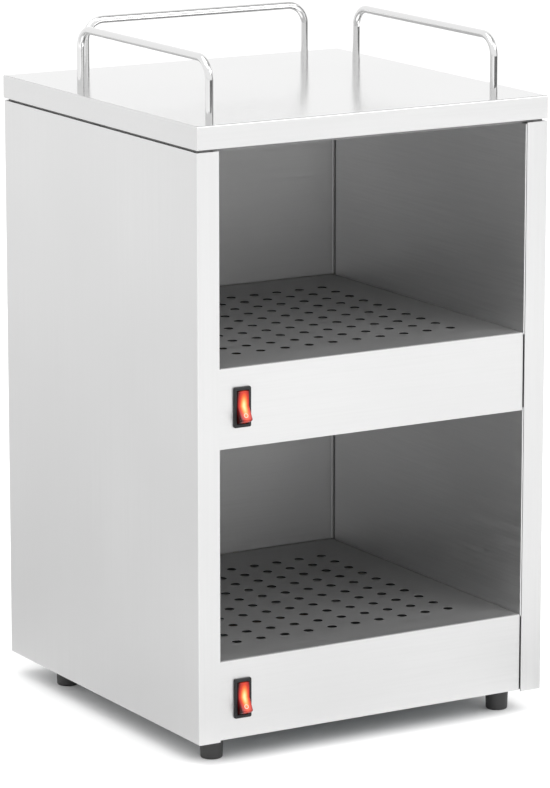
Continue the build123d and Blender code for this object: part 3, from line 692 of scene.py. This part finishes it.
for level in ("lower", "upper"):
    shelf_low, shelf_high = box_mm(level + "_shelf")
    front_y = shelf_low.y
    pivot_y = front_y + pivot_behind
    switch_z = shelf_low.z + switch_up
    upright = Matrix.Translation((switch_x, front_y, switch_z)) @ Matrix.Rotation(pi / 2, 4, "X")
    tipped = Matrix.Translation((switch_x, pivot_y, switch_z)) @ Matrix.Rotation(rest_tip, 4, "X")

    # The bezel, with its window sunk to the housing's back wall, then the body and its two clips.
    bm = bmesh.new()
    bmesh.ops.create_grid(bm, x_segments=1, y_segments=1, size=0.5)
    bmesh.ops.scale(bm, vec=(bezel[0], bezel[1], 1), verts=bm.verts)
    bmesh.ops.bevel(bm, geom=bm.verts[:], offset=bezel_corner, segments=5, profile=0.5, affect="VERTICES",
                    material=-1)
    face = thicken(bm, bm.faces[:], (0, 0, bezel_thick))[0]
    bmesh.ops.recalc_face_normals(bm, faces=bm.faces)
    bmesh.ops.bevel(bm, geom=face.edges[:], offset=bezel_round, segments=4, profile=0.5, affect="EDGES",
                    material=-1)
    face = max(bm.faces, key=lambda f: f.calc_center_median().z)
    sill = cut_window(bm, face, window_mouth)
    for inward, drop in window_steps:
        sunk, sill = draw_out(bm, sill)
        for vert in sunk:
            vert.co -= Vector((copysign(inward, vert.co.x), copysign(inward, vert.co.y), drop))
    bmesh.ops.contextual_create(bm, geom=sill)
    rear = min(bm.faces, key=lambda f: abs(f.calc_center_median().z))
    bmesh.ops.inset_individual(bm, faces=[rear], thickness=(bezel[0] - housing[0]) / 2, use_even_offset=True)
    tall = max(v.co.y for v in rear.verts)
    bmesh.ops.scale(bm, vec=(1, housing[1] / 2 / tall, 1), verts=rear.verts[:])
    back = bmesh.ops.extrude_discrete_faces(bm, faces=[rear])["faces"][0]
    bmesh.ops.translate(bm, vec=(0, 0, -housing_depth), verts=back.verts[:])
    bmesh.ops.recalc_face_normals(bm, faces=bm.faces)
    for turn in (pi, 0):
        clip = bmesh.ops.create_cube(bm, size=1)["verts"]
        bmesh.ops.scale(bm, vec=clip_size, verts=clip)
        bmesh.ops.translate(bm, vec=(0, clip_barb, 0), verts=[v for v in clip if v.co.y > 0 and v.co.z > 0])
        bmesh.ops.translate(bm, vec=(0, housing[1] / 2, -catch_at - clip_size[2] / 2), verts=clip)
        bmesh.ops.rotate(bm, cent=(0, 0, 0), matrix=Matrix.Rotation(turn, 3, "Z"), verts=clip)
    bmesh.ops.transform(bm, matrix=upright, verts=bm.verts)
    finish_piece(bm, level + "_nylon_switch_housing", [nylon], "cabinet", "black_nylon",
                 level + "_switch_housing")

    # Red polycarbonate: clear red, with painted shade that darkens its edges and a painted glow, hottest
    # where the lamp stands behind it.
    lens, tree, shader = new_finish(level + "_red_polycarbonate_painted_glow", "#C01A0C", 0.0, 0.28)
    shader.inputs["Emission Strength"].default_value = 1.0
    shader.inputs["Specular IOR Level"].default_value = 0.25
    lamp_at = Vector((switch_x + lamp_aside, pivot_y, switch_z + lamp_above))
    place = add_node(tree, "ShaderNodeTexCoord", {})
    centred = add_node(tree, "ShaderNodeMapping",
                       {"Vector": place.outputs["Object"], "Scale": [1000 / reach for reach in lamp_reach],
                        "Location": [-at / reach for at, reach in zip(lamp_at, lamp_reach)]})
    glow = add_node(tree, "ShaderNodeTexGradient", {"Vector": centred.outputs["Vector"]},
                    gradient_type="SPHERICAL")
    # The base colour's dark edges are painted shade; the emission is painted glow standing in for the lamp
    # behind.
    for socket, tones in (("Base Color", lens_painted_shade_tones), ("Emission Color", lens_painted_glow_tones)):
        painted_light_ramp = add_node(tree, "ShaderNodeValToRGB", {"Fac": glow.outputs[1]})
        ramp = painted_light_ramp.color_ramp.elements
        while len(ramp) < len(tones):
            ramp.new(1.0)
        for stop, (position, colour) in zip(ramp, tones):
            stop.position = position
            stop.color = linear(colour)
        tree.links.new(painted_light_ramp.outputs["Color"], shader.inputs[socket])

    # The rocker: a hollow shell with two faces that meet in a valley, its trunnions and its stem.
    bm = bmesh.new()
    valley = bm.verts.new((0, -rocker_valley, 0))
    tip = bm.verts.new((0, *rocker_tip))
    bm.edges.new((valley, tip))
    bmesh.ops.spin(bm, geom=[tip], cent=(0, 0, 0), axis=(1, 0, 0), angle=rocker_sweep, steps=8)
    bmesh.ops.mirror(bm, geom=bm.verts[:] + bm.edges[:], axis="Z", merge_dist=weld)
    bmesh.ops.remove_doubles(bm, verts=bm.verts, dist=weld)
    bm.edges.new([v for v in bm.verts if len(v.link_edges) == 1])
    cheek = bmesh.ops.contextual_create(bm, geom=bm.edges[:])["faces"]
    bmesh.ops.translate(bm, vec=(-rocker_width / 2, 0, 0), verts=bm.verts)
    thicken(bm, cheek, (rocker_width, 0, 0))
    bmesh.ops.recalc_face_normals(bm, faces=bm.faces)
    bmesh.ops.delete(bm, geom=[f for f in bm.faces if f.normal.y > 0.95], context="FACES_ONLY")
    rims = [e for e in bm.edges if len(e.link_faces) == 2 and e.calc_face_angle_signed() > radians(40)]
    bmesh.ops.bevel(bm, geom=rims, offset=rocker_round, segments=3, profile=0.5, affect="EDGES", material=-1)
    bmesh.ops.solidify(bm, geom=bm.faces[:], thickness=rocker_wall)
    bmesh.ops.create_cone(bm, cap_ends=True, segments=20, radius1=trunnion_radius, radius2=trunnion_radius,
                          depth=trunnion_span, matrix=Matrix.Rotation(pi / 2, 4, "Y"))
    bmesh.ops.create_cone(bm, cap_ends=True, segments=20, radius1=stem_radius, radius2=stem_radius,
                          depth=stem_length,
                          matrix=Matrix.Translation((0, stem_behind, 0)) @ Matrix.Rotation(pi / 2, 4, "X"))
    bmesh.ops.transform(bm, matrix=tipped, verts=bm.verts)
    finish_piece(bm, level + "_red_rocker", [lens], level + "_rocker", "red_lens", level + "_rocker")

    bm = bmesh.new()
    lathe(bm, mark_profile, 32)
    bmesh.ops.transform(bm, matrix=tipped @ mark_place @ mark_tilt, verts=bm.verts)
    finish_piece(bm, level + "_off_mark", [mark_ink_painted_glow], level + "_rocker", "red_lens")

    dress(brass, level + "_switch_terminals", level + "_contact_lever", level + "_plunger")
    dress(neon, level + "_lamp")


# Ceiling panel: the flat stainless roof of the upper bay, on the top flanges of the side panels.
# Its cut edges take the shelf's darker tone, painted shade that shows a little way in as the dark line under
# the lid.
screw_hole_radius = 2.2
low, high = box_mm("ceiling_panel")
bm = bmesh.new()
holes = [circle_edges(bm, screw_hole_radius, (x, y, high.z), 20) for x, y in lid_screws_at]
pierced_sheet(bm, top_corners(low, high, 0), holes)
face_up(bm)
bmesh.ops.solidify(bm, geom=bm.faces[:], thickness=high.z - low.z)
# The cut edges get the darker tone, painted shade for the line under the lid.
for part in bm.faces:
    if abs(part.normal.z) < 0.5:
        part.material_index = 1
finish_piece(bm, "flat_ceiling_sheet", [bay_steel, shelf_shaded_steel], "cabinet", "stainless_bay", "ceiling_panel")


# Lid: a shallow pan of polished stainless steel, folded down on all four sides, that stands on
# four brackets a little above the body. The rails go through six holes in it.
polished_steel = brushed_steel("polished_stainless_steel", ("#C2C2C2", "#C6C6C6"), (0.15, 0.19), "X", 160)
rail_names = ("left_rail", "right_rail", "rear_rail")
rod_radius = 3.0
rod_clear = 0.1
low, high = box_mm("top_lid")
legs = []
for name in rail_names:
    rail_low, rail_high = box_mm(name)
    legs += [(rail_low.x + rod_radius, rail_low.y + rod_radius, high.z),
             (rail_high.x - rod_radius, rail_high.y - rod_radius, high.z)]
bm = bmesh.new()
holes = [circle_edges(bm, rod_radius + rod_clear, at, 24) for at in legs]
border = pierced_sheet(bm, top_corners(low, high, fold_radius), holes)
fold_down(bm, border, (low + high) / 2, fold_radius, high.z - low.z)
face_up(bm)
bmesh.ops.solidify(bm, geom=bm.faces[:], thickness=body_sheet)
for part in bm.faces:
    if abs(part.normal.z) < 0.7:
        part.material_index = 1
finish_piece(bm, "folded_lid", [polished_steel, apron_steel], "cabinet", "stainless_lid", "top_lid")


# Rails: three chrome-plated rods, each bent into a wide staple at the left, right and rear of the
# lid. Their threaded ends go through the lid and are held by nuts underneath.
# Bright chrome plating: a clean mirror with a faint ripple left from polishing.
ripple_mm = 14
chrome, tree, shader = new_finish("bright_chrome", "#D4D4D4", 1.0, 0.08)
mottle(tree, shader, ripple_mm, dulls=(0.06, 0.1))
rod_bend = 15.0
for name in rail_names:
    rail_low, rail_high = box_mm(name)
    start = rail_low + Vector((rod_radius, rod_radius, 0))
    end = rail_high - Vector((rod_radius, rod_radius, rod_radius))
    along = Vector((end.x - start.x, end.y - start.y, 0))
    length = along.length
    along.normalize()
    spin_axis = Vector((0, 0, 1)).cross(along)
    rise = end.z - start.z - rod_bend
    first_corner = Vector((start.x, start.y, end.z - rod_bend)) + along * rod_bend
    last_corner = Vector((end.x, end.y, end.z - rod_bend)) - along * rod_bend
    bm = bmesh.new()
    bmesh.ops.create_circle(bm, cap_ends=True, segments=32, radius=rod_radius,
                            matrix=Matrix.Translation(start))
    ring = bm.edges[:]
    for move, pivot in ((Vector((0, 0, rise)), first_corner), (along * (length - 2 * rod_bend), last_corner),
                        (Vector((0, 0, -rise)), None)):
        verts, ring = draw_out(bm, ring)
        bmesh.ops.translate(bm, vec=move, verts=verts)
        if pivot is not None:
            turned = bmesh.ops.spin(bm, geom=verts + ring, cent=pivot, axis=spin_axis, angle=pi / 2, steps=12)
            ring = [item for item in turned["geom_last"] if isinstance(item, bmesh.types.BMEdge)]
    bmesh.ops.contextual_create(bm, geom=ring)
    bmesh.ops.remove_doubles(bm, verts=bm.verts, dist=weld)
    bmesh.ops.recalc_face_normals(bm, faces=bm.faces)
    finish_piece(bm, name + "_bent_rod", [chrome], "cabinet", "chrome_rod", name)


# Studio: a wide white floor of matt paper under an even white sky, with soft lamps above and in
# front. Felt cards that only reflections see tone the steel and give the chrome its stripes.
def set_up(bm, name, material):
    """Stands one thing of the studio in the scene."""
    mesh = bpy.data.meshes.new(name)
    bm.to_mesh(mesh)
    bm.free()
    mesh.materials.append(material)
    stand = bpy.data.objects.new(name, mesh)
    bpy.context.scene.collection.objects.link(stand)
    return stand


fibre_mm = 400
floor_reach = 16
paper, tree, shader = new_finish("matt_white_paper", "#F4F4F4", 0.0, 0.9)
mottle(tree, shader, fibre_mm, tones=("#F2F2F2", "#F6F6F6"))
bm = bmesh.new()
bmesh.ops.create_grid(bm, x_segments=4, y_segments=4, size=floor_reach)
set_up(bm, "studio_floor", paper)

sky = bpy.data.worlds.new("studio_sky")
sky.use_nodes = True
sky.node_tree.nodes["Background"].inputs["Color"].default_value = linear("#FFFFFF")
sky.node_tree.nodes["Background"].inputs["Strength"].default_value = 1.22
bpy.context.scene.world = sky

for name, power, size, spot, aim in (("softbox_above", 30, 2.2, (-1.1, -0.3, 2.6), (-0.5, 0.1, 0)),
                                     ("softbox_front_floor", 72, 2.2, (1.6, -2.5, 2.4), (0.6, -1.8, 0))):
    lamp = bpy.data.lights.new(name, "AREA")
    lamp.energy = power
    lamp.size = size
    softbox = bpy.data.objects.new(name, lamp)
    softbox.location = spot
    softbox.rotation_euler = (Vector(aim) - Vector(spot)).to_track_quat("-Z", "Y").to_euler()
    bpy.context.scene.collection.objects.link(softbox)

cards = []
for name, shade, width, height, spot, aim in (
        ("grey_card_above", "#B4B4B4", 2.4, 2.6, (1.3, -0.5, 2.7), (0, 0, 0.5)),
        ("dark_card_right", "#303030", 1.4, 2.0, (3.1, -1.65, 1.0), (0, 0, 0.5)),
        ("grey_card_left", "#D0D0D0", 1.3, 1.6, (-0.82, 0.6, 0.002), (-0.82, 0.6, 1)),
        ("grey_card_right", "#C4C4C4", 1.3, 1.6, (0.82, 0.5, 0.002), (0.82, 0.5, 1)),
        ("grey_card_rear", "#C4C4C4", 1.8, 1.3, (0.0, 0.95, 0.002), (0.0, 0.95, 1)),
        ("grey_card_front", "#DEDEDE", 1.6, 1.5, (0.5, -0.95, 0.002), (0.5, -0.95, 1))):
    bm = bmesh.new()
    bmesh.ops.create_grid(bm, x_segments=2, y_segments=2, size=0.5)
    bmesh.ops.scale(bm, vec=(width, height, 1), verts=bm.verts)
    turn = (Vector(aim) - Vector(spot)).to_track_quat("Z", "Y").to_matrix().to_4x4()
    bmesh.ops.transform(bm, matrix=Matrix.Translation(spot) @ turn, verts=bm.verts)
    cards.append((name, shade, bm))
ring_reach = (3.1, 4.6)
ring_height = 0.002
ring_from = radians(-108)
ring_sweep = radians(93)
bm = bmesh.new()
rim = [bm.verts.new((reach * cos(ring_from), reach * sin(ring_from), ring_height)) for reach in ring_reach]
bmesh.ops.spin(bm, geom=rim + [bm.edges.new(rim)], cent=(0, 0, 0), axis=(0, 0, 1), angle=ring_sweep, steps=24)
bmesh.ops.recalc_face_normals(bm, faces=bm.faces)
cards.append(("dark_floor_ring", "#303030", bm))
nap_mm = 5
for name, shade, bm in cards:
    felt, tree, shader = new_finish(name + "_felt", shade, 0.0, 0.95)
    mottle(tree, shader, nap_mm, relief=(0.1, 0.001))
    card = set_up(bm, name, felt)
    card.visible_camera = False
    card.visible_diffuse = False
    card.visible_transmission = False
    card.visible_shadow = False


# Camera: at the photograph's viewing angle, on a long lens a little above the lid. It has no
# shift, so the other views stay centred on the cabinet.
camera_data = bpy.data.cameras.new("camera")
camera_data.sensor_width = 36
camera_data.lens = 201.015
camera = bpy.data.objects.new("camera", camera_data)
camera.location = (-1.67440, -2.83430, 0.95430)
camera.rotation_euler = (radians(90 - 12.30), 0, radians(-30.62))
bpy.context.scene.collection.objects.link(camera)
bpy.context.scene.camera = camera
bpy.context.scene.view_settings.view_transform = "Standard"
